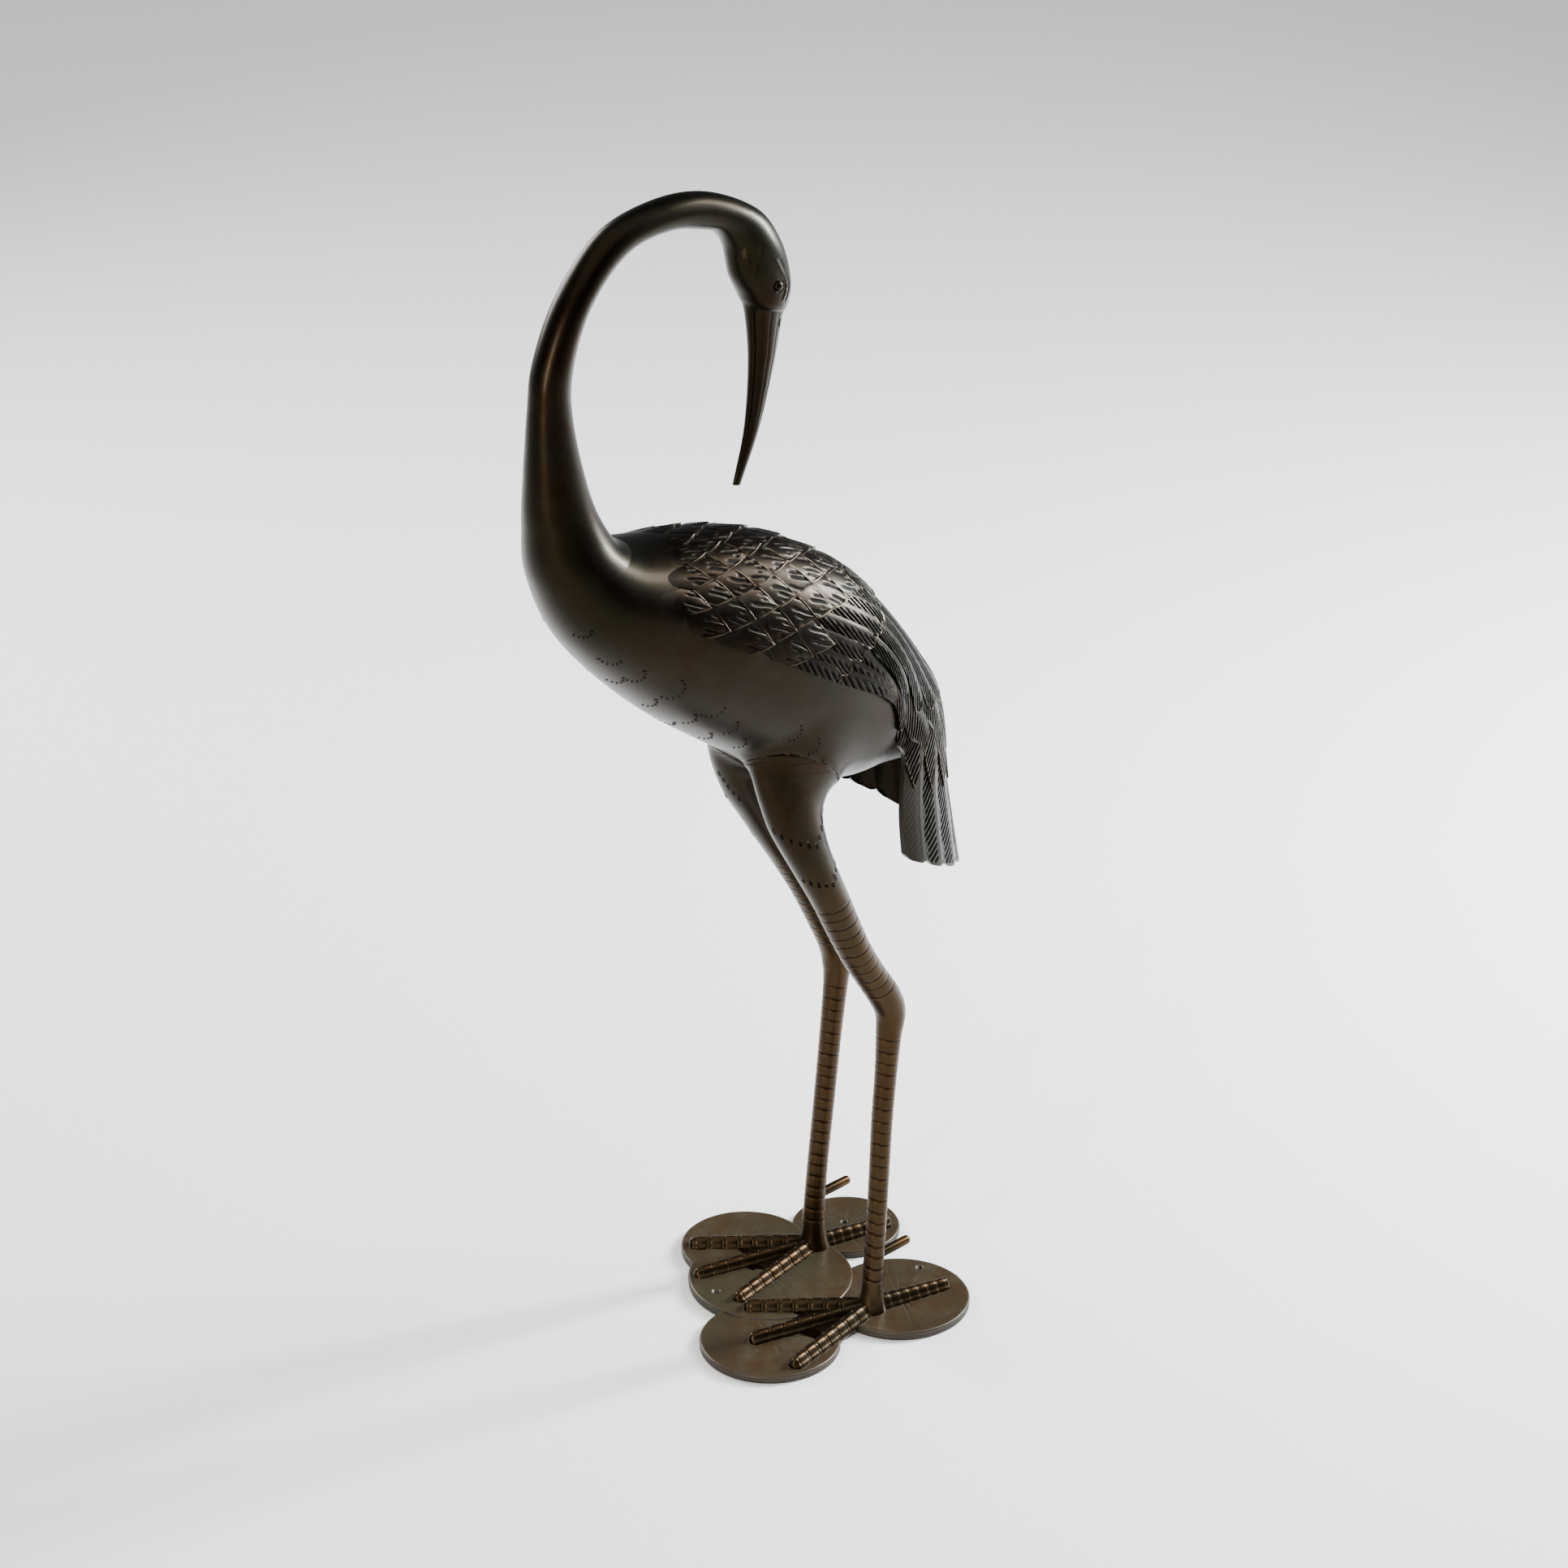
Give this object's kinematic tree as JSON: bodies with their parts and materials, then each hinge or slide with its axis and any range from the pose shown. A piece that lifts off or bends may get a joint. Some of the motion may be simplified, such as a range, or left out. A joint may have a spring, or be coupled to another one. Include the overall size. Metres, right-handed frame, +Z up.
{
  "type": "crane garden statue",
  "caption": "Garden statue of a preening crane, cast in one piece and standing by its own weight on a base of joined lily pads.",
  "frame": {"origin": "centre of the bounding box on the floor plane, under the lily pads", "axes": "+Z up, -X the way the breast faces, -Y the bird's left side, as it stands on the floor"},
  "size_m": [0.4166, 0.2552, 0.9786],
  "materials": {
    "bronze_patina": "dark olive-brown bronze patina, satin, with copper rubbed through on edges, rings and toes"
  },
  "bodies": {
    "root": {"crane": "bronze_patina"}
  },
  "joints": []
}
